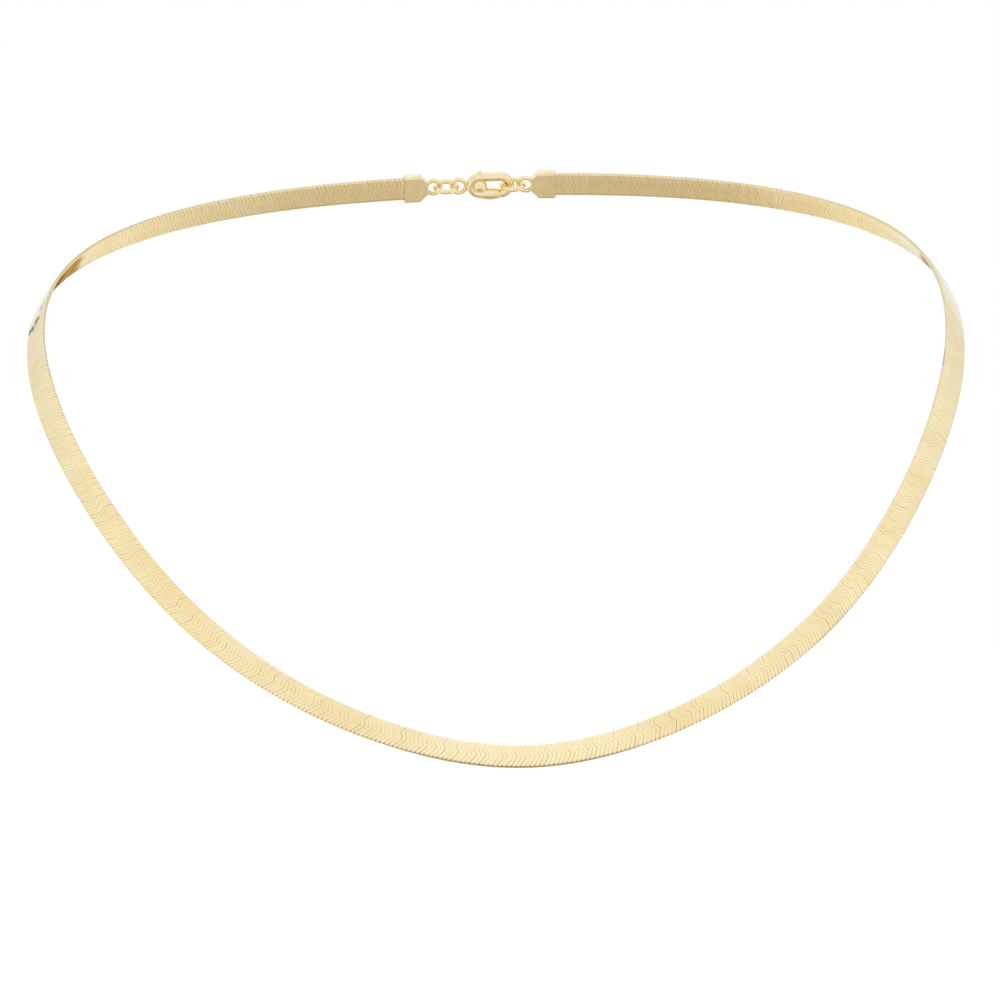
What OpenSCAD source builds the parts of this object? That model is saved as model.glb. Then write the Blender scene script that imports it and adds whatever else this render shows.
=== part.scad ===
// A flat herringbone chain necklace, closed, in the form it takes when it is worn.
// X runs to the viewer's right, Y away from the viewer and Z up. The origin is the
// point at the middle of the nape where the clasp rests on the neck.

/* [Chain] */
// Length all round the closed necklace, with its clasp and rings
total_length = 457; // [406:1:508]
// Width of the woven band across its face
band_w = 4; // [3:0.1:6]
// Thickness of the woven band
band_t = 0.65; // [0.5:0.05:1.2]
// Distance from one link to the next along the band
link_pitch = 0.66; // [0.5:0.01:0.9]
// Rounding of the band's long edges
band_edge_r = 0.15; // [0.05:0.01:0.22]

/* [End caps] */
// Wall of the sleeve that holds an end of the band
cap_wall = 0.35; // [0.3:0.05:0.6]
// Room between the band and the sleeve on each side
cap_room = 0.1; // [0.05:0.01:0.2]
// Depth of the band inside the sleeve
cap_grip = 2; // [1.5:0.1:3]
// Width of the cap where its eye is soldered on
cap_nose_w = 2; // [1.6:0.1:2.6]
// Length of the tapered shoulder between eye and sleeve
cap_taper = 1.4; // [1:0.1:2]
// Rounding of the sleeve's long edges
cap_edge_r = 0.45; // [0.2:0.05:0.6]

/* [Eyes and jump rings] */
// Radius of an eye to the middle of its wire
eye_r = 1.2; // [1.15:0.05:1.5]
// Wire diameter of an eye
eye_wire = 0.7; // [0.6:0.05:0.8]
// Radius of a jump ring to the middle of its wire
ring_r = 1.8; // [1.75:0.05:2.2]
// Wire diameter of a jump ring
ring_wire = 0.8; // [0.7:0.05:0.9]
// Clear space where one piece hangs in another
play = 0.15; // [0.1:0.05:0.25]

/* [Clasp] */
// Radius of the claw's bend to the middle of its wire
claw_r = 1.55; // [1.5:0.05:1.9]
// Wire diameter of the claw
claw_wire = 1.5; // [1.3:0.05:1.6]
// Length of the claw's straight sides
claw_side = 3.4; // [3:0.1:5]
// Radius of the round body behind the claw's opening
claw_body_r = 1.25; // [1.2:0.05:1.5]
// Largest radius of the claw's thick back
claw_back_r = 1.05; // [0.9:0.05:1.2]
// Radius of the thumb stud on the claw's gate
claw_stud_r = 0.45; // [0.3:0.05:0.6]

/* [Hidden] */

// The route of the band's middle line, from the lowest point at the front to the
// middle of the nape, as the control rows of a smooth closed curve. Each row gives
// the distance out from the middle plane, the distance behind the front, the height
// above the front, and the lean of the band's face from upright, in degrees. Both
// sides use the same rows, so the necklace is symmetric.
OUT = 0;
BACK = 1;
UP = 2;
LEAN = 3;
side_rows = [
    // out, back, up, lean
    [0, 0, 0, 38],
    [24.5, 3, 6.5, 41],
    [45, 13.5, 18.5, 44],
    [61, 33.5, 36.5, 42],
    [72.5, 55.5, 58.5, 40],
    [73.5, 78, 75, 42],
    [61.5, 96.5, 85, 40],
    [35.5, 108.5, 91, 34],
    [0, 113, 92.5, 30]
];
half_turn = len(side_rows) - 1;
full_turn = 2 * half_turn;

// The closed ring of rows goes from the front round the viewer's left to the nape
// and back to the front round the viewer's right.
function turned(row, side) = [side * row[OUT], row[BACK], row[UP], row[LEAN]];
ring_rows = concat(
    [for (row = side_rows) turned(row, -1)],
    [for (i = [half_turn - 1 : -1 : 1]) turned(side_rows[i], 1)]
);

// A point of the curve and its direction, at u rows from the front.
function row_at(i) = ring_rows[(i + full_turn) % full_turn];
function blend(a, b, c, d, t) =
    (pow(1 - t, 3) * a + (3 * pow(t, 3) - 6 * pow(t, 2) + 4) * b
    + (1 + 3 * t + 3 * pow(t, 2) - 3 * pow(t, 3)) * c + pow(t, 3) * d) / 6;
function slope(a, b, c, d, t) =
    (-pow(1 - t, 2) * a + (3 * pow(t, 2) - 4 * t) * b
    + (1 + 2 * t - 3 * pow(t, 2)) * c + pow(t, 2) * d) / 2;
function curve(u) =
    let (i = floor(u))
    blend(row_at(i - 1), row_at(i), row_at(i + 1), row_at(i + 2), u - i);
function curve_slope(u) =
    let (i = floor(u))
    slope(row_at(i - 1), row_at(i), row_at(i + 1), row_at(i + 2), u - i);
function place_of(row) = [row[OUT], row[BACK], row[UP]];

// Lengths along the curve, measured as a chain of short chords. route_scale fits
// the rows to the stated length.
chords = 1200;
chord_u = full_turn / chords;
chord_lengths = [
    for (i = [0 : chords - 1])
        norm(place_of(curve((i + 1) * chord_u)) - place_of(curve(i * chord_u)))
];
length_to_u = [
    for (i = 0, s = 0; i <= chords; s = s + (i < chords ? chord_lengths[i] : 0), i = i + 1)
        [s, i * chord_u]
];
rows_length = length_to_u[chords][0];
route_scale = total_length / rows_length;
function u_at(s) = lookup(s / route_scale, length_to_u);

// The frame of the band at s along the route from the front: its place, the way
// along, the outward normal of its face and the way across to its upper edge.
upright = [0, 0, 1];
function unit(v) = v / norm(v);
function frame_at(s) =
    let (
        u = u_at((s + total_length) % total_length),
        row = curve(u),
        along = unit(place_of(curve_slope(u))),
        level_out = unit(cross(upright, along)),
        rise = cross(along, level_out),
        lean = row[LEAN],
        face = cos(lean) * level_out + sin(lean) * rise,
        across = cos(lean) * rise - sin(lean) * level_out
    )
    [route_scale * place_of(row), along, face, across];
PLACE = 0;
ALONG = 1;
FACE = 2;
ACROSS = 3;

// The clasp's round body rests on the nape at the origin.
nape_s = total_length / 2;
nape_frame = frame_at(nape_s);
origin_shift = claw_body_r * nape_frame[FACE] - nape_frame[PLACE];

// Moves the children, modelled about a point of their own X axis, to the frame at
// s along the route. Their X runs along the band, Y out of its face and Z across it.
module on_route(s, x0 = 0) {
    f = frame_at(s);
    p = f[PLACE] + origin_shift;
    multmatrix([
        [f[ALONG].x, f[FACE].x, f[ACROSS].x, p.x],
        [f[ALONG].y, f[FACE].y, f[ACROSS].y, p.y],
        [f[ALONG].z, f[FACE].z, f[ACROSS].z, p.z]
    ])
        translate([-x0, 0, 0])
            children();
}

// Stations of the findings along the route, from the middle of the nape. Each link
// of the closure hangs in the next with the same play.
ring_step = eye_r + ring_r - eye_wire / 2 - ring_wire / 2 - play;
claw_rear_x = claw_r + claw_wire / 2 + eye_r;
claw_front_x = claw_rear_x + claw_side;
claw_body_x = claw_rear_x;
catch_ring_x = claw_front_x + claw_r - claw_wire / 2 - ring_wire / 2 - play + ring_r;
tail_eye_s = nape_s - claw_body_x;
tail_ring_s = tail_eye_s - ring_step;
tail_cap_s = tail_ring_s - ring_step;
catch_ring_s = tail_eye_s + catch_ring_x;
catch_cap_s = catch_ring_s + ring_step;

// Stations along an end cap, from the middle of its eye.
cap_nose_x = eye_r - eye_wire / 4;
cap_sleeve_x = cap_nose_x + cap_taper;
cap_floor_x = cap_sleeve_x + cap_wall;
cap_mouth_x = cap_floor_x + cap_room + cap_grip;
cap_band_x = cap_floor_x + cap_room;
cap_t = band_t + 2 * (cap_room + cap_wall);
cap_w = band_w + 2 * (cap_room + cap_wall);

// The band runs from cap to cap by way of the front.
band_half = tail_cap_s - cap_band_x;
band_length = band_half + total_length - catch_cap_s - cap_band_x;
band_start_s = catch_cap_s + cap_band_x - total_length;
link_count = round(band_length / link_pitch);
links_per_section = 3;
band_sections = ceil(link_count / links_per_section);

// Outline of the band's cross-section, as [out of the face, across] from its middle.
corner_steps = 2;
function corner(side_y, side_z, from) = [
    for (k = [0 : corner_steps])
        let (a = from + 90 * k / corner_steps)
        [
            side_y * (band_t / 2 - band_edge_r) + band_edge_r * cos(a),
            side_z * (band_w / 2 - band_edge_r) + band_edge_r * sin(a)
        ]
];
band_outline = concat(corner(1, 1, 0), corner(-1, 1, 90), corner(-1, -1, 180), corner(1, -1, 270));
outline_points = len(band_outline);

function section_at(s) =
    let (f = frame_at(s))
    [for (q = band_outline) f[PLACE] + origin_shift + q[0] * f[FACE] + q[1] * f[ACROSS]];

module gold() {
    color([0.95, 0.86, 0.62]) children();
}

module wire_ring(radius, wire) {
    rotate_extrude($fn = 64)
        translate([radius, 0])
            circle(d = wire, $fn = 32);
}

// The woven band: one smooth ribbon from cap to cap.
module woven_band() {
    points = [
        for (i = [0 : band_sections])
            each section_at(band_start_s + band_length * i / band_sections)
    ];
    sides = [
        for (i = [0 : band_sections - 1], k = [0 : outline_points - 1])
            let (
                a = i * outline_points + k,
                b = i * outline_points + (k + 1) % outline_points,
                c = a + outline_points,
                d = b + outline_points
            )
            each [[a, d, b], [a, c, d]]
    ];
    first_end = [for (k = [0 : outline_points - 1]) k];
    last_end = [for (k = [outline_points - 1 : -1 : 0]) band_sections * outline_points + k];
    gold() polyhedron(points, concat(sides, [first_end, last_end]), convexity = 6);
}

// A rounded bar along X, for the sleeve of an end cap.
module rounded_bar(x_from, x_to) {
    flat_y = cap_t - 2 * cap_edge_r;
    flat_z = cap_w - 2 * cap_edge_r;
    translate([x_from, 0, 0])
        rotate([90, 0, 90])
            linear_extrude(x_to - x_from) {
                square([cap_t, flat_z], center = true);
                square([flat_y, cap_w], center = true);
                for (y = [-1, 1], z = [-1, 1])
                    translate([y * flat_y / 2, z * flat_z / 2])
                        circle(cap_edge_r, $fn = 32);
            }
}

// A flat sleeve that tapers to a soldered eye. The band's end sits in its pocket.
module end_cap() {
    plan = [
        [cap_nose_x, -cap_nose_w / 2],
        [cap_sleeve_x, -cap_w / 2],
        [cap_mouth_x, -cap_w / 2],
        [cap_mouth_x, cap_w / 2],
        [cap_sleeve_x, cap_w / 2],
        [cap_nose_x, cap_nose_w / 2]
    ];
    pocket_t = band_t + 2 * cap_room;
    pocket_w = band_w + 2 * cap_room;
    gold() {
        difference() {
            intersection() {
                rounded_bar(cap_nose_x, cap_mouth_x);
                rotate([90, 0, 0])
                    linear_extrude(2 * cap_t, center = true)
                        polygon(plan);
            }
            translate([cap_floor_x, -pocket_t / 2, -pocket_w / 2])
                cube([cap_mouth_x, pocket_t, pocket_w]);
        }
        rotate([90, 0, 0])
            wire_ring(eye_r, eye_wire);
    }
}

module jump_ring() {
    gold() wire_ring(ring_r, ring_wire);
}

// A bend of the claw's wire, half a turn round its middle.
module claw_bend(from) {
    rotate([90, 0, 0])
        rotate([0, 0, from])
            rotate_extrude(angle = 180, $fn = 64)
                translate([claw_r, 0])
                    circle(d = claw_wire, $fn = 32);
}

// The claw's thick back: an arc of a circle turned about the claw's side.
module claw_back() {
    swell = claw_back_r - claw_wire / 2;
    half = claw_side / 2;
    arc_r = (half * half + swell * swell) / (2 * swell);
    rotate([0, 90, 0])
        rotate_extrude($fn = 48)
            intersection() {
                translate([claw_back_r - arc_r, 0])
                    circle(arc_r, $fn = 360);
                translate([0, -half])
                    square([2 * claw_back_r, 2 * half]);
            }
}

// The closed lobster clasp in one solid, from the middle of its tail eye.
module lobster_clasp() {
    gold()
        on_route(nape_s, claw_body_x) {
            rotate([90, 0, 0])
                wire_ring(eye_r, eye_wire);
            translate([claw_rear_x, 0, 0])
                claw_bend(90);
            translate([claw_front_x, 0, 0])
                claw_bend(270);
            for (side = [-1, 1])
                translate([claw_rear_x, 0, side * claw_r])
                    rotate([0, 90, 0])
                        cylinder(d = claw_wire, h = claw_side, $fn = 32);
            translate([claw_body_x, 0, 0])
                sphere(claw_body_r, $fn = 48);
            translate([claw_rear_x + claw_side / 2, 0, -claw_r])
                claw_back();
            translate([claw_rear_x, 0, claw_r + claw_wire / 2])
                sphere(claw_stud_r, $fn = 32);
        }
}

module end_cap_tail() {
    on_route(tail_cap_s - cap_mouth_x, -cap_mouth_x)
        rotate([0, 0, 180])
            end_cap();
}

module end_cap_catch() {
    on_route(catch_cap_s + cap_mouth_x, cap_mouth_x)
        end_cap();
}

module jump_ring_tail() {
    on_route(tail_ring_s) jump_ring();
}

module jump_ring_catch() {
    on_route(catch_ring_s) jump_ring();
}

woven_band();
end_cap_tail();
end_cap_catch();
jump_ring_tail();
jump_ring_catch();
lobster_clasp();
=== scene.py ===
import math
import random

import bmesh
import bpy
from mathutils import Matrix, Vector, noise


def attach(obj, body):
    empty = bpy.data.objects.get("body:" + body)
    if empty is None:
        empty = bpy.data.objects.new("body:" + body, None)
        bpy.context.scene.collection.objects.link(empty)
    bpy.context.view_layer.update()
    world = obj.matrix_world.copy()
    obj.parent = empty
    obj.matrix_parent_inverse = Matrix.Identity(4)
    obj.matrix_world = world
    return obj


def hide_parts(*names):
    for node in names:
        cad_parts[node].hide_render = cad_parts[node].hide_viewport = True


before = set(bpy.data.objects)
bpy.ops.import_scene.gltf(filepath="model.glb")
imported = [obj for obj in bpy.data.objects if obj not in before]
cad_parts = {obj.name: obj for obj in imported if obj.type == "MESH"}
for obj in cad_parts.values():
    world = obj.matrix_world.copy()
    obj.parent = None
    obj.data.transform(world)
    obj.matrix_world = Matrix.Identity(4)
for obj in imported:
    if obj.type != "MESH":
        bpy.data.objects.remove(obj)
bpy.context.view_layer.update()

MM = 0.001
RIGID_BODY = "root"
UPRIGHT = Vector((0, 0, 1))


# Camera: level with the necklace, a little to the viewer's left of its front and
# turned a little about its own axis.

CAMERA_AZIMUTH = math.radians(2.366)
CAMERA_ROLL = math.radians(-1.962)
CAMERA_DISTANCE = 1.0
AIM_RIGHT = 1.51 * MM
AIM_UP = -51.45 * MM
LENS = 217.93
SENSOR = 36.0


def make_camera():
    ahead = Vector((math.sin(CAMERA_AZIMUTH), math.cos(CAMERA_AZIMUTH), 0))
    right = ahead.cross(UPRIGHT)
    place = AIM_RIGHT * right + AIM_UP * UPRIGHT - CAMERA_DISTANCE * ahead
    rolled_right = math.cos(CAMERA_ROLL) * right + math.sin(CAMERA_ROLL) * UPRIGHT
    rolled_up = math.cos(CAMERA_ROLL) * UPRIGHT - math.sin(CAMERA_ROLL) * right
    data = bpy.data.cameras.new("camera")
    data.lens = LENS
    data.sensor_width = SENSOR
    data.clip_start = 0.05
    camera = bpy.data.objects.new("camera", data)
    camera.matrix_world = Matrix(
        [(*axes, place[i]) for i, axes in enumerate(zip(rolled_right, rolled_up, -ahead))]
        + [(0, 0, 0, 1)]
    )
    bpy.context.scene.collection.objects.link(camera)
    bpy.context.scene.camera = camera


make_camera()


# Route of the band, in millimetres: control rows of a smooth closed curve, from the
# lowest point at the front to the middle of the nape, the same on both sides.

SIDE_ROWS = [
    # out, back, up, lean of the face in degrees
    (0, 0, 0, 38),
    (24.5, 3, 6.5, 41),
    (45, 13.5, 18.5, 44),
    (61, 33.5, 36.5, 42),
    (72.5, 55.5, 58.5, 40),
    (73.5, 78, 75, 42),
    (61.5, 96.5, 85, 40),
    (35.5, 108.5, 91, 34),
    (0, 113, 92.5, 30),
]
HALF_TURN = len(SIDE_ROWS) - 1
FULL_TURN = 2 * HALF_TURN
TOTAL_LENGTH = 457.0
CLASP_BODY_RADIUS = 1.25

# Short straight stretches that the curve's length is measured in.
CHORDS = 1200


def turned(row, side):
    """A row on one side: -1 is the viewer's left, and 1 the right."""
    return Vector((side * row[0], row[1], row[2], row[3]))


RING_ROWS = [turned(row, -1) for row in SIDE_ROWS]
RING_ROWS += [turned(SIDE_ROWS[i], 1) for i in range(HALF_TURN - 1, 0, -1)]


def rows_about(u):
    """The four rows that shape the curve at u rows from the front, and the share
    of the way between the middle two."""
    i = math.floor(u)
    return [RING_ROWS[(i + k) % FULL_TURN] for k in (-1, 0, 1, 2)], u - i


def curve(u):
    (a, b, c, d), t = rows_about(u)
    return (
        (1 - t) ** 3 * a
        + (3 * t**3 - 6 * t**2 + 4) * b
        + (1 + 3 * t + 3 * t**2 - 3 * t**3) * c
        + t**3 * d
    ) / 6


def curve_slope(u):
    (a, b, c, d), t = rows_about(u)
    return (
        -((1 - t) ** 2) * a + (3 * t**2 - 4 * t) * b + (1 + 2 * t - 3 * t**2) * c + t**2 * d
    ) / 2


def lengths_along():
    """The length from the front to each chord's end."""
    ends = [curve(FULL_TURN * i / CHORDS).xyz for i in range(CHORDS + 1)]
    lengths = [0.0]
    for a, b in zip(ends, ends[1:]):
        lengths.append(lengths[-1] + (b - a).length)
    return lengths


CHORD_LENGTHS = lengths_along()
ROUTE_SCALE = TOTAL_LENGTH / CHORD_LENGTHS[-1]


def u_at(s):
    wanted = (s % TOTAL_LENGTH) / ROUTE_SCALE
    low, high = 0, CHORDS
    while high - low > 1:
        middle = (low + high) // 2
        if CHORD_LENGTHS[middle] <= wanted:
            low = middle
        else:
            high = middle
    share = (wanted - CHORD_LENGTHS[low]) / (CHORD_LENGTHS[high] - CHORD_LENGTHS[low])
    return FULL_TURN * (low + share) / CHORDS


def axes_at(s):
    """The band's place, the way along, the outward normal of its face and the way
    across to its upper edge, at s millimetres from the front."""
    u = u_at(s)
    row = curve(u)
    along = curve_slope(u).xyz.normalized()
    level_out = UPRIGHT.cross(along).normalized()
    rise = along.cross(level_out)
    lean = math.radians(row.w)
    face = math.cos(lean) * level_out + math.sin(lean) * rise
    across = math.cos(lean) * rise - math.sin(lean) * level_out
    return ROUTE_SCALE * row.xyz, along, face, across


NAPE_S = TOTAL_LENGTH / 2
nape_place, _, nape_face, _ = axes_at(NAPE_S)
ORIGIN_SHIFT = CLASP_BODY_RADIUS * nape_face - nape_place


def on_route(s):
    """Takes a shape made in millimetres, with X along the band, Y out of its face
    and Z across it, to its place s millimetres from the front."""
    place, along, face, across = axes_at(s)
    place = place + ORIGIN_SHIFT
    rows = [(along[i], face[i], across[i], place[i]) for i in range(3)]
    return Matrix.Scale(MM, 4) @ Matrix(rows + [(0, 0, 0, 1)])


# Floor and light: a plain pale floor and a white studio.

FLOOR_Z = -0.16
FLOOR_RADIUS = 3.0
FLOOR_COLOUR = (0.9, 0.9, 0.89)
FLOOR_GLOW = 1.05

# Where the floor starts to fade to the white of the studio, and where it is white.
FLOOR_NEAR = 0.2
FLOOR_FAR = 0.3


def new_material(name):
    material = bpy.data.materials.new(name)
    material.use_nodes = True
    nodes = material.node_tree.nodes
    nodes.clear()
    return material, nodes, material.node_tree.links


def add_node(nodes, kind, **settings):
    node = nodes.new(kind)
    for name, value in settings.items():
        setattr(node, name, value)
    return node


def floor_material():
    """Pale near the necklace, and fading to the white of the studio further out."""
    material, nodes, links = new_material("floor")
    place = add_node(nodes, "ShaderNodeTexCoord")
    reach = add_node(nodes, "ShaderNodeVectorMath", operation="LENGTH")
    fade = add_node(nodes, "ShaderNodeMapRange", interpolation_type="SMOOTHSTEP")
    fade.inputs["From Min"].default_value = FLOOR_NEAR
    fade.inputs["From Max"].default_value = FLOOR_FAR
    paper = add_node(nodes, "ShaderNodeBsdfDiffuse")
    paper.inputs["Color"].default_value = (*FLOOR_COLOUR, 1)
    white = add_node(nodes, "ShaderNodeEmission")
    white.inputs["Strength"].default_value = FLOOR_GLOW
    mixed = add_node(nodes, "ShaderNodeMixShader")
    out = add_node(nodes, "ShaderNodeOutputMaterial")
    links.new(place.outputs["Object"], reach.inputs[0])
    links.new(reach.outputs["Value"], fade.inputs["Value"])
    links.new(fade.outputs["Result"], mixed.inputs[0])
    links.new(paper.outputs[0], mixed.inputs[1])
    links.new(white.outputs[0], mixed.inputs[2])
    links.new(mixed.outputs[0], out.inputs["Surface"])
    return material


def make_floor():
    bm = bmesh.new()
    bmesh.ops.create_circle(bm, cap_ends=True, segments=96, radius=FLOOR_RADIUS)
    bmesh.ops.translate(bm, verts=bm.verts, vec=(0, 0, FLOOR_Z))
    mesh = bpy.data.meshes.new("floor")
    bm.to_mesh(mesh)
    bm.free()
    floor = bpy.data.objects.new("floor", mesh)
    mesh.materials.append(floor_material())
    bpy.context.scene.collection.objects.link(floor)
    floor.visible_glossy = False


# What the gold mirrors, from straight below to nearly straight above.
STUDIO_BANDS = [
    # height of the direction, colour
    (-1.00, (0.50, 0.44, 0.38)),
    (-0.92, (0.56, 0.50, 0.44)),
    (-0.80, (0.83, 0.79, 0.73)),
    (-0.60, (0.96, 0.94, 0.90)),
    (-0.35, (0.96, 0.95, 0.94)),
    (-0.05, (0.93, 0.96, 1.05)),
    (0.05, (0.92, 0.97, 1.10)),
    (0.32, (0.92, 0.98, 1.13)),
    (0.345, (0.87, 0.905, 1.01)),
    (0.47, (0.89, 0.91, 0.98)),
    (0.62, (0.95, 0.97, 1.03)),
    (0.78, (1.02, 1.02, 1.03)),
    (0.90, (1.00, 0.985, 0.965)),
    (0.98, (1.00, 1.00, 1.01)),
]

# Round panels with soft edges in that light. Angles are in degrees, and the azimuth is
# from straight back. Where the band turns away on the viewer's left, its inner face
# mirrors the first two as a brown shade, and single links mirror the five small dark
# ones as dashes.
STUDIO_PANELS = [
    # azimuth, height, radius, soft edge, colour
    (14, -9, 9, 9, (0.50, 0.31, 0.11)),
    (4, -2.5, 4, 6, (0.20, 0.11, 0.06)),
    (33.5, 21, 3, 2, (0.92, 0.975, 1.12)),
    (-28.1, 17.0, 0.9, 0.6, (0.23, 0.22, 0.19)),
    (-26.3, 17.3, 1.0, 0.6, (0.17, 0.16, 0.14)),
    (-24.4, 16.7, 0.6, 0.4, (0.17, 0.16, 0.14)),
    (-28.8, 20.0, 0.7, 0.5, (0.12, 0.11, 0.10)),
    (-21.1, 15.8, 0.7, 0.4, (0.22, 0.20, 0.17)),
    (-15, 52, 16, 18, (1.05, 1.12, 1.30)),
]


def add_panel(nodes, links, way, colour, panel):
    """Lays one panel over the colour that comes in, and returns what comes out."""
    azimuth, height = math.radians(panel[0]), math.radians(panel[1])
    level = math.cos(height)
    middle = (level * math.sin(azimuth), level * math.cos(azimuth), math.sin(height))
    nearness = add_node(nodes, "ShaderNodeVectorMath", operation="DOT_PRODUCT")
    nearness.inputs[1].default_value = middle
    edge = add_node(nodes, "ShaderNodeMapRange", interpolation_type="SMOOTHSTEP")
    edge.inputs["From Min"].default_value = math.cos(math.radians(panel[2] + panel[3]))
    edge.inputs["From Max"].default_value = math.cos(math.radians(panel[2]))
    laid = add_node(nodes, "ShaderNodeMix", data_type="RGBA")
    laid.inputs["B"].default_value = (*panel[4], 1)
    links.new(way, nearness.inputs[0])
    links.new(nearness.outputs["Value"], edge.inputs["Value"])
    links.new(edge.outputs["Result"], laid.inputs["Factor"])
    links.new(colour, laid.inputs["A"])
    return laid.outputs["Result"]


def make_studio_light():
    """White for the camera and the floor. The gold mirrors the bands and the panels."""
    world = bpy.data.worlds.new("studio")
    world.use_nodes = True
    bpy.context.scene.world = world
    nodes, links = world.node_tree.nodes, world.node_tree.links
    nodes.clear()
    way = add_node(nodes, "ShaderNodeTexCoord")
    parts = add_node(nodes, "ShaderNodeSeparateXYZ")
    height = add_node(nodes, "ShaderNodeMapRange")
    height.inputs["From Min"].default_value = -1
    bands = add_node(nodes, "ShaderNodeValToRGB")
    stops = bands.color_ramp.elements
    while len(stops) < len(STUDIO_BANDS):
        stops.new(1.0)
    for stop, (level, colour) in zip(stops, STUDIO_BANDS):
        stop.position = (level + 1) / 2
        stop.color = (*colour, 1)
    links.new(way.outputs["Generated"], parts.inputs[0])
    links.new(parts.outputs["Z"], height.inputs["Value"])
    links.new(height.outputs["Result"], bands.inputs["Fac"])
    colour = bands.outputs["Color"]
    for panel in STUDIO_PANELS:
        colour = add_panel(nodes, links, way.outputs["Generated"], colour, panel)
    mirrored = add_node(nodes, "ShaderNodeBackground")
    white = add_node(nodes, "ShaderNodeBackground")
    white.inputs["Color"].default_value = (1, 1, 1, 1)
    path = add_node(nodes, "ShaderNodeLightPath")
    mixed = add_node(nodes, "ShaderNodeMixShader")
    out = add_node(nodes, "ShaderNodeOutputWorld")
    links.new(colour, mirrored.inputs["Color"])
    links.new(path.outputs["Is Glossy Ray"], mixed.inputs[0])
    links.new(white.outputs[0], mixed.inputs[1])
    links.new(mirrored.outputs[0], mixed.inputs[2])
    links.new(mixed.outputs[0], out.inputs["Surface"])
    bpy.context.scene.view_settings.view_transform = "Standard"


make_floor()
make_studio_light()


# Gold: a shader group that the finishes share, then one material for each finish.

# The map that each link has of its own, and the values that it carries.
LINK_MAP = "link_map"
LINK_TONE = "link_tone"
FRONT_SHARE = "front_share"
EDGE_GLINT = "edge_glint"
JOINT_SHADE = "joint_shade"


def new_group(name, inputs, outputs):
    """A shader node group with named sockets, its group input and group output."""
    group = bpy.data.node_groups.new(name, "ShaderNodeTree")
    for socket, kind, value in inputs:
        made = group.interface.new_socket(name=socket, in_out="INPUT", socket_type=kind)
        made.default_value = value
    for socket, kind in outputs:
        group.interface.new_socket(name=socket, in_out="OUTPUT", socket_type=kind)
    return group, group.nodes.new("NodeGroupInput"), group.nodes.new("NodeGroupOutput")


def polished_gold_group():
    """Soft patches between a pale and a warm gold, and fine rubbing marks."""
    group, given, out = new_group(
        "polished_gold",
        [
            ("Pale", "NodeSocketColor", (1, 1, 1, 1)),
            ("Warm", "NodeSocketColor", (1, 1, 1, 1)),
            ("Patches", "NodeSocketFloat", 300.0),
            ("Marks", "NodeSocketFloat", 4000.0),
            ("Smooth", "NodeSocketFloat", 0.14),
            ("Rubbed", "NodeSocketFloat", 0.26),
        ],
        [
            ("Color", "NodeSocketColor"),
            ("Roughness", "NodeSocketFloat"),
            ("Height", "NodeSocketFloat"),
        ],
    )
    nodes, links = group.nodes, group.links
    place = add_node(nodes, "ShaderNodeTexCoord")
    patches = add_node(nodes, "ShaderNodeTexNoise")
    patches.inputs["Detail"].default_value = 3
    marks = add_node(nodes, "ShaderNodeTexNoise")
    marks.inputs["Detail"].default_value = 2
    spread = add_node(nodes, "ShaderNodeMapRange", interpolation_type="SMOOTHSTEP")
    spread.inputs["From Min"].default_value = 0.35
    spread.inputs["From Max"].default_value = 0.65
    tone = add_node(nodes, "ShaderNodeMix", data_type="RGBA")
    rough = add_node(nodes, "ShaderNodeMapRange")
    rough.inputs["From Min"].default_value = 0.3
    rough.inputs["From Max"].default_value = 0.7
    for texture, size in ((patches, "Patches"), (marks, "Marks")):
        links.new(place.outputs["Object"], texture.inputs["Vector"])
        links.new(given.outputs[size], texture.inputs["Scale"])
    links.new(patches.outputs["Fac"], spread.inputs["Value"])
    links.new(spread.outputs["Result"], tone.inputs["Factor"])
    links.new(given.outputs["Pale"], tone.inputs["A"])
    links.new(given.outputs["Warm"], tone.inputs["B"])
    links.new(marks.outputs["Fac"], rough.inputs["Value"])
    links.new(given.outputs["Smooth"], rough.inputs["To Min"])
    links.new(given.outputs["Rubbed"], rough.inputs["To Max"])
    links.new(tone.outputs["Result"], out.inputs["Color"])
    links.new(rough.outputs["Result"], out.inputs["Roughness"])
    links.new(marks.outputs["Fac"], out.inputs["Height"])
    return group


POLISHED_GOLD = polished_gold_group()


def place_gold(nodes, pale, warm, patches, marks, smooth, rubbed_and_glint):
    """The polished gold group, with one finish's own values."""
    gold = add_node(nodes, "ShaderNodeGroup", node_tree=POLISHED_GOLD)
    gold.inputs["Pale"].default_value = (*pale, 1)
    gold.inputs["Warm"].default_value = (*warm, 1)
    gold.inputs["Patches"].default_value = patches
    gold.inputs["Marks"].default_value = marks
    gold.inputs["Smooth"].default_value = smooth
    gold.inputs["Rubbed"].default_value = rubbed_and_glint
    return gold


def finish_metal(nodes, links, gold, colour, bump):
    """Puts the gold's colour, roughness and marks on a metal."""
    metal = add_node(nodes, "ShaderNodeBsdfPrincipled")
    metal.inputs["Metallic"].default_value = 1.0
    relief = add_node(nodes, "ShaderNodeBump")
    relief.inputs["Strength"].default_value = bump
    relief.inputs["Distance"].default_value = 0.01 * MM
    out = add_node(nodes, "ShaderNodeOutputMaterial")
    links.new(colour, metal.inputs["Base Color"])
    links.new(gold.outputs["Roughness"], metal.inputs["Roughness"])
    links.new(gold.outputs["Height"], relief.inputs["Height"])
    links.new(relief.outputs["Normal"], metal.inputs["Normal"])
    links.new(metal.outputs["BSDF"], out.inputs["Surface"])


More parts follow.
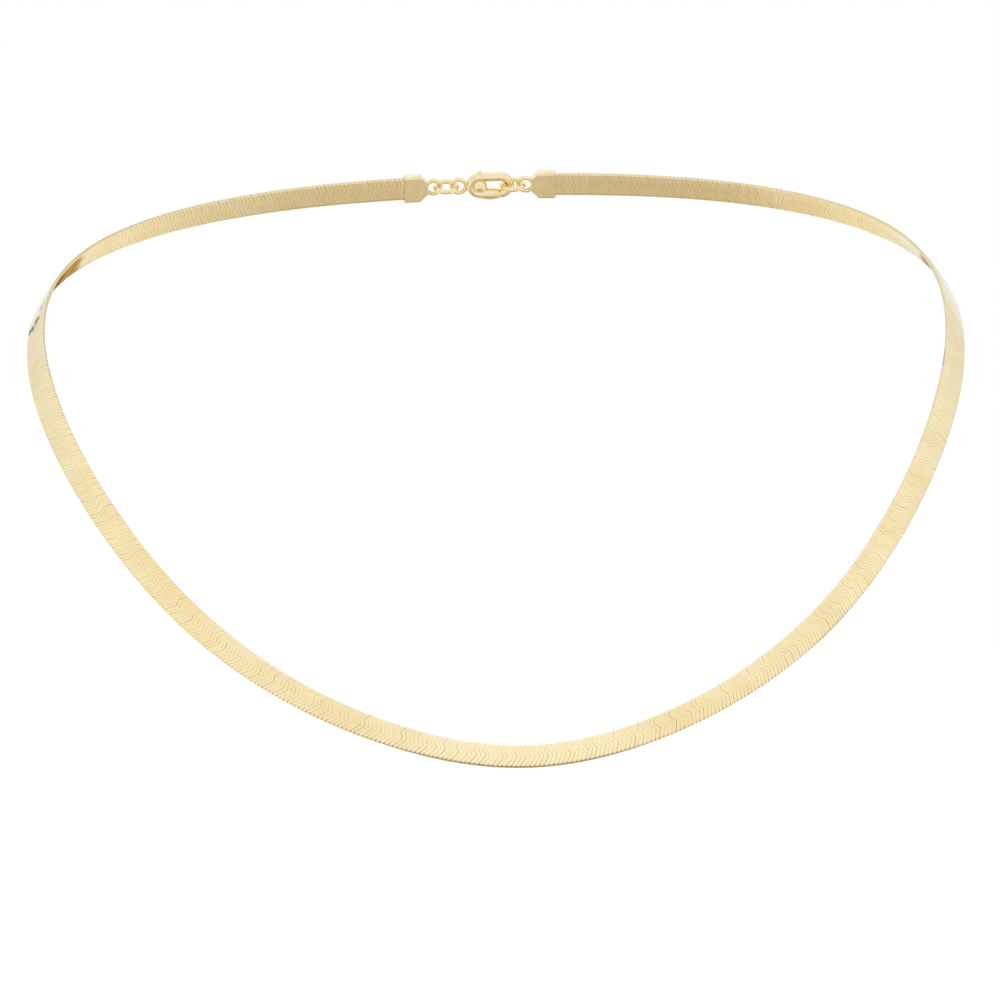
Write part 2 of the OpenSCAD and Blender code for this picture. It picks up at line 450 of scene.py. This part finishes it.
def uv_mask(nodes, links, axis, centre, start, full, strength):
    """Nothing up to start from the centre line of one axis of the link's map, and the
    full strength from full on."""
    uv = add_node(nodes, "ShaderNodeUVMap", uv_map=LINK_MAP)
    parts = add_node(nodes, "ShaderNodeSeparateXYZ")
    offset = add_node(nodes, "ShaderNodeMath", operation="SUBTRACT")
    offset.inputs[1].default_value = centre
    size = add_node(nodes, "ShaderNodeMath", operation="ABSOLUTE")
    mask = add_node(nodes, "ShaderNodeMapRange", interpolation_type="SMOOTHSTEP")
    mask.inputs["From Min"].default_value = start
    mask.inputs["From Max"].default_value = full
    mask.inputs["To Max"].default_value = strength
    links.new(uv.outputs["UV"], parts.inputs[0])
    links.new(parts.outputs[axis], offset.inputs[0])
    links.new(offset.outputs[0], size.inputs[0])
    links.new(size.outputs[0], mask.inputs["Value"])
    return mask.outputs["Result"]


def product(nodes, links, mask, other):
    both = add_node(nodes, "ShaderNodeMath", operation="MULTIPLY")
    links.new(mask, both.inputs[0])
    links.new(other, both.inputs[1])
    return both.outputs[0]


def link_value(nodes, name):
    """A value that each link carries for itself."""
    return add_node(nodes, "ShaderNodeAttribute", attribute_name=name).outputs["Fac"]


def lay_colour(nodes, links, under, mask, colour):
    laid = add_node(nodes, "ShaderNodeMix", data_type="RGBA")
    laid.inputs["B"].default_value = (*colour, 1)
    links.new(mask, laid.inputs["Factor"])
    links.new(under, laid.inputs["A"])
    return laid.outputs["Result"]


# Golds laid over a link's own: a paler gold at the front, painted highlights and painted shade.
SIDE_GLINT_GOLD = (1.0, 0.9, 0.62)
FRONT_GOLD = (0.98, 0.855, 0.535)
UPPER_EDGE_GLINT_GOLD = (1.0, 0.95, 0.82)
WALL_SHADE_GOLD = (0.72, 0.60, 0.35)
OUTER_EDGE_SHADE_GOLD = (0.66, 0.51, 0.29)
SEAM_SHADE_GOLD = (0.62, 0.44, 0.16)


def weave_material():
    """The links' gold. Each link has its own tone, a paler line along its sides that is a
    painted highlight, and painted shade at the seam there. The links at the front are
    paler. The upper edge there and for a way to each side has a painted highlight. The end
    wall of that edge is darker with painted shade, and so is the outer edge at the front."""
    material, nodes, links = new_material("polished_gold_weave")
    gold = place_gold(
        nodes,
        pale=(0.95, 0.81, 0.485),
        warm=(0.93, 0.765, 0.43),
        patches=150.0,
        marks=5000.0,
        smooth=0.05,
        rubbed_and_glint=0.10,
    )
    # Painted highlight: a paler line along each side of a link.
    rubbed_and_glint = uv_mask(nodes, links, "X", centre=0.5, start=0.30, full=0.45, strength=0.3)
    front = link_value(nodes, FRONT_SHARE)
    # Painted highlight along the upper edge.
    upper = uv_mask(nodes, links, "Y", centre=0.0, start=0.83, full=0.97, strength=0.65)
    upper = product(nodes, links, upper, link_value(nodes, EDGE_GLINT))
    # Painted shade on the end wall of the upper edge.
    wall_shade = uv_mask(nodes, links, "Y", centre=0.0, start=0.97, full=0.98, strength=0.9)
    # Painted shade along the outer edge at the front.
    outer = uv_mask(nodes, links, "Y", centre=1.0, start=0.895, full=0.935, strength=0.45)
    outer = product(nodes, links, outer, front)
    # Painted shade at the seams between the links.
    seam_shade = uv_mask(nodes, links, "X", centre=0.5, start=0.45, full=0.485, strength=1.0)
    seam_shade = product(nodes, links, seam_shade, link_value(nodes, JOINT_SHADE))
    colour = lay_colour(nodes, links, gold.outputs["Color"], rubbed_and_glint, SIDE_GLINT_GOLD)
    colour = lay_colour(nodes, links, colour, front, FRONT_GOLD)
    colour = lay_colour(nodes, links, colour, upper, UPPER_EDGE_GLINT_GOLD)
    colour = lay_colour(nodes, links, colour, wall_shade, WALL_SHADE_GOLD)
    colour = lay_colour(nodes, links, colour, outer, OUTER_EDGE_SHADE_GOLD)
    colour = lay_colour(nodes, links, colour, seam_shade, SEAM_SHADE_GOLD)
    toned = add_node(nodes, "ShaderNodeHueSaturation")
    links.new(colour, toned.inputs["Color"])
    links.new(link_value(nodes, LINK_TONE), toned.inputs["Value"])
    finish_metal(nodes, links, gold, toned.outputs["Color"], bump=0.08)
    return material


def core_material():
    """The shaded gold between the links."""
    material, nodes, links = new_material("shaded_gold_core")
    gold = place_gold(
        nodes,
        pale=(0.48, 0.33, 0.14),
        warm=(0.38, 0.25, 0.1),
        patches=900.0,
        marks=5000.0,
        smooth=0.35,
        rubbed_and_glint=0.5,
    )
    finish_metal(nodes, links, gold, gold.outputs["Color"], bump=0.2)
    return material


def findings_material():
    """The plain gold of the caps, rings and clasp."""
    material, nodes, links = new_material("polished_gold_findings")
    gold = place_gold(
        nodes,
        pale=(0.95, 0.81, 0.50),
        warm=(0.92, 0.75, 0.42),
        patches=700.0,
        marks=3500.0,
        smooth=0.10,
        rubbed_and_glint=0.2,
    )
    finish_metal(nodes, links, gold, gold.outputs["Color"], bump=0.12)
    return material


weave_gold = weave_material()
core_gold = core_material()
findings_gold = findings_material()


# Weave: flat links that lie side by side round the route. Lengths are in
# millimetres, with X along the band, Y out of its face and Z across it.

BAND_LENGTH = 436.0
BAND_START = -218.07
END_ROOM = 0.85
LINK_PITCH = 0.66
LINK_GAP = 0.012
LINK_HALF_W = (LINK_PITCH - LINK_GAP) / 2
BAND_HALF_W = 1.98
RIM = 0.02
STRETCHES = 12

# The line of a link across the band, from its upper edge to its outer edge, with half
# its thickness and how much narrower it is where the wire turns at the edges.
LINK_LINE = [
    # across, along, face height, back height, narrower
    (1.98, -0.06, 0.18, 0.25, 0.02),
    (1.80, 0.04, 0.235, 0.31, 0.003),
    (0.95, 0.43, 0.305, 0.325, -0.002),
    (0.60, 0.49, 0.325, 0.325, 0.0),
    (-0.12, 0.05, 0.325, 0.325, 0.0),
    (-0.38, 0.00, 0.325, 0.325, 0.0),
    (-0.62, 0.09, 0.315, 0.325, -0.002),
    (-1.11, 0.37, 0.303, 0.325, -0.003),
    (-1.60, 0.64, 0.28, 0.325, -0.003),
    (-1.82, 0.77, 0.27, 0.30, 0.01),
    (-1.98, 0.88, 0.235, 0.21, 0.06),
]

# The middle of the line's reach along the band.
LINE_MIDDLE = 0.41


def line_row(z):
    """The row of the link's line that is nearest to z across the band."""
    return min(LINK_LINE, key=lambda row: abs(row[0] - z))


def line_at(z):
    """The link's line at z across the band."""
    for above, below in zip(LINK_LINE, LINK_LINE[1:]):
        if z >= below[0]:
            share = (z - below[0]) / (above[0] - below[0])
            return below[1] + (above[1] - below[1]) * share
    return LINK_LINE[-1][1]


def moved_verts(made):
    return [v for v in made["geom"] if isinstance(v, bmesh.types.BMVert)]


def ordered(bm):
    """The verts and faces in order of place. The mesh tools give the same shape each
    run, but list it in another order."""
    verts = sorted(bm.verts, key=lambda v: v.co[:])
    rank = {v: i for i, v in enumerate(verts)}
    faces = []
    for face in bm.faces:
        corners = [rank[v] for v in face.verts]
        first = corners.index(min(corners))
        faces.append(corners[first:] + corners[:first])
    return [v.co[:] for v in verts], sorted(faces)


def make_link():
    """One link as a mesh, about the band's middle line: a strip along the line, given
    its thickness, with the rims of its two long walls bevelled."""
    bm = bmesh.new()
    line = []
    for across, along, _, _, narrower in LINK_LINE:
        line.append(bm.verts.new((along - LINE_MIDDLE - LINK_HALF_W + narrower, 0, across)))
    edges = [bm.edges.new(pair) for pair in zip(line, line[1:])]
    for v in moved_verts(bmesh.ops.extrude_edge_only(bm, edges=edges)):
        v.co.x += 2 * (LINK_HALF_W - line_row(v.co.z)[4])
    back = bm.verts[:]
    for v in moved_verts(bmesh.ops.extrude_face_region(bm, geom=bm.faces[:])):
        v.co.y = line_row(v.co.z)[2]
    for v in back:
        v.co.y = -line_row(v.co.z)[3]
    bmesh.ops.recalc_face_normals(bm, faces=bm.faces)
    walls = [f for f in bm.faces if abs(f.normal.y) < 0.1 and abs(f.normal.z) < 0.95]
    rims = [e for e in bm.edges if sum(f in walls for f in e.link_faces) == 1]
    bmesh.ops.bevel(
        bm, geom=rims, offset=RIM, affect="EDGES", segments=1, profile=0.5, material=-1
    )
    verts, faces = ordered(bm)
    bm.free()
    mesh = bpy.data.meshes.new("link")
    mesh.from_pydata(verts, [], faces)
    return mesh


# Joints that stand open, read from the photograph: the place along the band of the
# joint's hollow bend, and how far the links part at its outer and upper edges.
OPEN_JOINTS = [
    # place, outer, upper
    (-98.5, 0.03, 0.00),
    (-87.9, 0.01, 0.04),
    (-83.6, 0.03, 0.00),
    (-80.9, 0.02, 0.04),
    (-75.0, 0.00, 0.03),
    (-69.5, 0.03, 0.00),
    (-65.5, 0.03, 0.03),
    (-64.0, 0.03, 0.00),
    (-61.2, 0.01, 0.04),
    (-57.0, 0.02, 0.02),
    (-54.1, 0.00, 0.03),
    (-52.7, 0.05, 0.01),
    (-48.6, 0.02, 0.03),
    (-46.0, 0.02, 0.03),
    (-44.6, 0.02, 0.02),
    (-43.1, 0.03, 0.00),
    (-40.7, 0.01, 0.03),
    (-39.1, 0.02, 0.00),
    (-37.2, 0.01, 0.04),
    (-32.0, 0.03, 0.03),
    (-29.3, 0.01, 0.00),
    (-27.5, 0.03, 0.03),
    (-26.8, 0.01, 0.03),
    (-25.4, 0.03, 0.02),
    (-22.9, 0.05, 0.04),
    (-20.2, 0.05, 0.03),
    (-19.5, 0.03, 0.02),
    (-17.3, 0.00, 0.03),
    (-16.3, 0.04, 0.00),
    (-15.1, 0.03, 0.00),
    (-13.6, 0.00, 0.02),
    (-9.8, 0.03, 0.02),
    (-8.6, 0.03, 0.00),
    (-5.8, 0.00, 0.03),
    (-3.1, 0.02, 0.01),
    (-1.8, 0.02, 0.00),
    (1.6, 0.01, 0.00),
    (3.5, 0.01, 0.00),
    (6.3, 0.02, 0.02),
    (7.6, 0.02, 0.01),
    (10.2, 0.03, 0.00),
    (12.5, 0.02, 0.03),
    (14.2, 0.03, 0.00),
    (15.0, 0.03, 0.00),
    (15.7, 0.03, 0.01),
    (18.3, 0.04, 0.01),
    (19.0, 0.03, 0.04),
    (22.1, 0.03, 0.00),
    (24.8, 0.01, 0.03),
    (25.5, 0.03, 0.00),
    (32.3, 0.02, 0.01),
    (38.2, 0.01, 0.03),
    (40.8, 0.03, 0.02),
    (44.6, 0.03, 0.00),
    (50.5, 0.03, 0.01),
    (52.6, 0.03, 0.02),
    (58.6, 0.01, 0.03),
    (62.3, 0.02, 0.04),
    (86.0, 0.01, 0.03),
]

# How many links it takes for an open joint's push to die away.
JOINT_REACH = 2.5


def parted(s, column):
    """How far a link at s has moved along the band for the open joints near it, by one
    column of their table."""
    moved = 0.0
    for row in OPEN_JOINTS:
        links_away = (s - LINE_MIDDLE - row[0]) / LINK_PITCH
        if abs(links_away) < 6 * JOINT_REACH:
            moved += math.copysign(
                row[column] / 2 * math.exp(-abs(links_away) / JOINT_REACH), links_away
            )
    return moved


def link_stations():
    """The places of all the links along the band, clear of its ends."""
    first = BAND_START + END_ROOM
    count = int((BAND_LENGTH - 2 * END_ROOM) / LINK_PITCH)
    return [first + i * LINK_PITCH for i in range(count + 1)]


# The small looseness of a worn weave: the usual slide of a link's outer and upper ends
# along the band, its largest slide across, its usual tilts in degrees, and the length
# of the looser and tighter patches.
LOOSE_OUTER = 0.005
LOOSE_UPPER = 0.007
LOOSE_ACROSS = 0.012
TILT_ALONG = 0.28
TILT_ACROSS = 0.2
LOOSE_PATCH = 7


def link_matrix(s, chance):
    """Where the link at s lies."""
    loose = 0.5 + abs(noise.noise(Vector((s / LOOSE_PATCH, 0.5, 0))))
    outer = parted(s, 1) + chance.gauss(0, LOOSE_OUTER * loose)
    upper = parted(s, 2) + chance.gauss(0, LOOSE_UPPER * loose)
    turn = (upper - outer) / (2 * BAND_HALF_W)
    across = chance.uniform(-LOOSE_ACROSS, LOOSE_ACROSS)
    slide = Matrix.Translation(((outer + upper) / 2, 0, across))
    tilt_along = Matrix.Rotation(math.radians(chance.gauss(0, TILT_ALONG)), 4, "Z")
    tilt_across = Matrix.Rotation(math.radians(chance.gauss(0, TILT_ACROSS)), 4, "X")
    return on_route(s) @ slide @ Matrix.Rotation(turn, 4, "Y") @ tilt_along @ tilt_across


def make_piece(name, bm, material):
    """A finished piece that rides on the rigid body."""
    mesh = bpy.data.meshes.new(name)
    bm.to_mesh(mesh)
    bm.free()
    mesh.materials.append(material)
    piece = bpy.data.objects.new(name, mesh)
    bpy.context.scene.collection.objects.link(piece)
    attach(piece, RIGID_BODY)
    return piece


def fading(distance, full, gone):
    """One up to full, and nothing from gone on."""
    return min(max((gone - distance) / (gone - full), 0), 1)


def front_share(s):
    """How far a link is laid paler, and its outer edge darker with painted shade, by its distance
    from the front.
    """
    return fading(abs(s), 13, 18)


def edge_glint(s):
    """How strong the painted highlight along a link's upper edge is. That reaches further from
    the front on the side of the clasp's catch."""
    return fading(abs(s), 44, 58) if s > 0 else fading(abs(s), 66, 80)


def joint_shade(s):
    """How deep the painted shade is at a link's joints: half as deep at the front as further
    up."""
    return 0.7 - 0.35 * fading(abs(s), 15, 60)


# How far from the middle of the link's map its faces reach, and the walls of its ends.
FACE_REACH = 0.45
WALL_REACH = 0.5

# The darkest tone that a link can have, next to 1 for the brightest.
DARKEST_TONE = 0.975


def map_link(bm, faces, verts, s, chance):
    """The link's own map, across its width and along its line, and its values."""
    uv = bm.loops.layers.uv[LINK_MAP]
    values = {
        LINK_TONE: chance.uniform(DARKEST_TONE, 1.0),
        FRONT_SHARE: front_share(s),
        EDGE_GLINT: edge_glint(s),
        JOINT_SHADE: joint_shade(s),
    }
    for name, value in values.items():
        layer = bm.verts.layers.float[name]
        for v in verts:
            v[layer] = value
    for face in faces:
        reach = WALL_REACH if abs(face.normal.z) > 0.9 else FACE_REACH
        for loop in face.loops:
            x, z = loop.vert.co.x + LINE_MIDDLE, loop.vert.co.z
            shift = (x - line_at(z)) / (2 * LINK_HALF_W)
            loop[uv].uv = (min(max(shift + 0.5, 0), 1), 0.5 + reach * z / BAND_HALF_W)


def weave_stretch(number, stations, link, chance):
    """The links at these stations, joined into one piece."""
    bm = bmesh.new()
    bm.loops.layers.uv.new(LINK_MAP)
    for name in (LINK_TONE, FRONT_SHARE, EDGE_GLINT, JOINT_SHADE):
        bm.verts.layers.float.new(name)
    for s in stations:
        old_verts, old_faces = len(bm.verts), len(bm.faces)
        bm.from_mesh(link)
        verts, faces = bm.verts[old_verts:], bm.faces[old_faces:]
        map_link(bm, faces, verts, s, chance)
        bmesh.ops.transform(bm, matrix=link_matrix(s, chance), verts=verts)
    piece = make_piece(f"weave_{number:02d}", bm, weave_gold)
    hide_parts("woven_band")


def make_weave():
    link = make_link()
    chance = random.Random(18)
    stations = link_stations()
    ends = [round(len(stations) * k / STRETCHES) for k in range(STRETCHES + 1)]
    for number, (first, last) in enumerate(zip(ends, ends[1:]), 1):
        weave_stretch(number, stations[first:last], link, chance)
    bpy.data.meshes.remove(link)


# The core fills the middle of the weave, so that no light shows between the links.

CORE_HALF_W = 1.955
CORE_HALF_T = 0.17
CORE_STEP = 2.0


def make_core():
    bm = bmesh.new()
    bmesh.ops.create_cube(bm, size=1)
    length = BAND_LENGTH - 2 * END_ROOM
    first = BAND_START + END_ROOM
    bmesh.ops.scale(bm, verts=bm.verts, vec=(length, 2 * CORE_HALF_T, 2 * CORE_HALF_W))
    bmesh.ops.translate(bm, verts=bm.verts, vec=(first + length / 2, 0, 0))
    runs = [e for e in bm.edges if abs(e.verts[0].co.x - e.verts[1].co.x) > length / 2]
    bmesh.ops.subdivide_edges(bm, edges=runs, cuts=round(length / CORE_STEP), use_grid_fill=True)
    for v in bm.verts:
        v.co = on_route(v.co.x) @ Vector((0, v.co.y, v.co.z))
    piece = make_piece("weave_core", bm, core_gold)
    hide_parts("woven_band")


make_weave()
make_core()


# Findings: the caps, rings and clasp keep their shapes from the frame.

FINDINGS = ["end_cap_tail", "end_cap_catch", "jump_ring_tail", "jump_ring_catch", "lobster_clasp"]


def finish_findings():
    for name in FINDINGS:
        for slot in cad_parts[name].material_slots:
            slot.material = findings_gold


finish_findings()
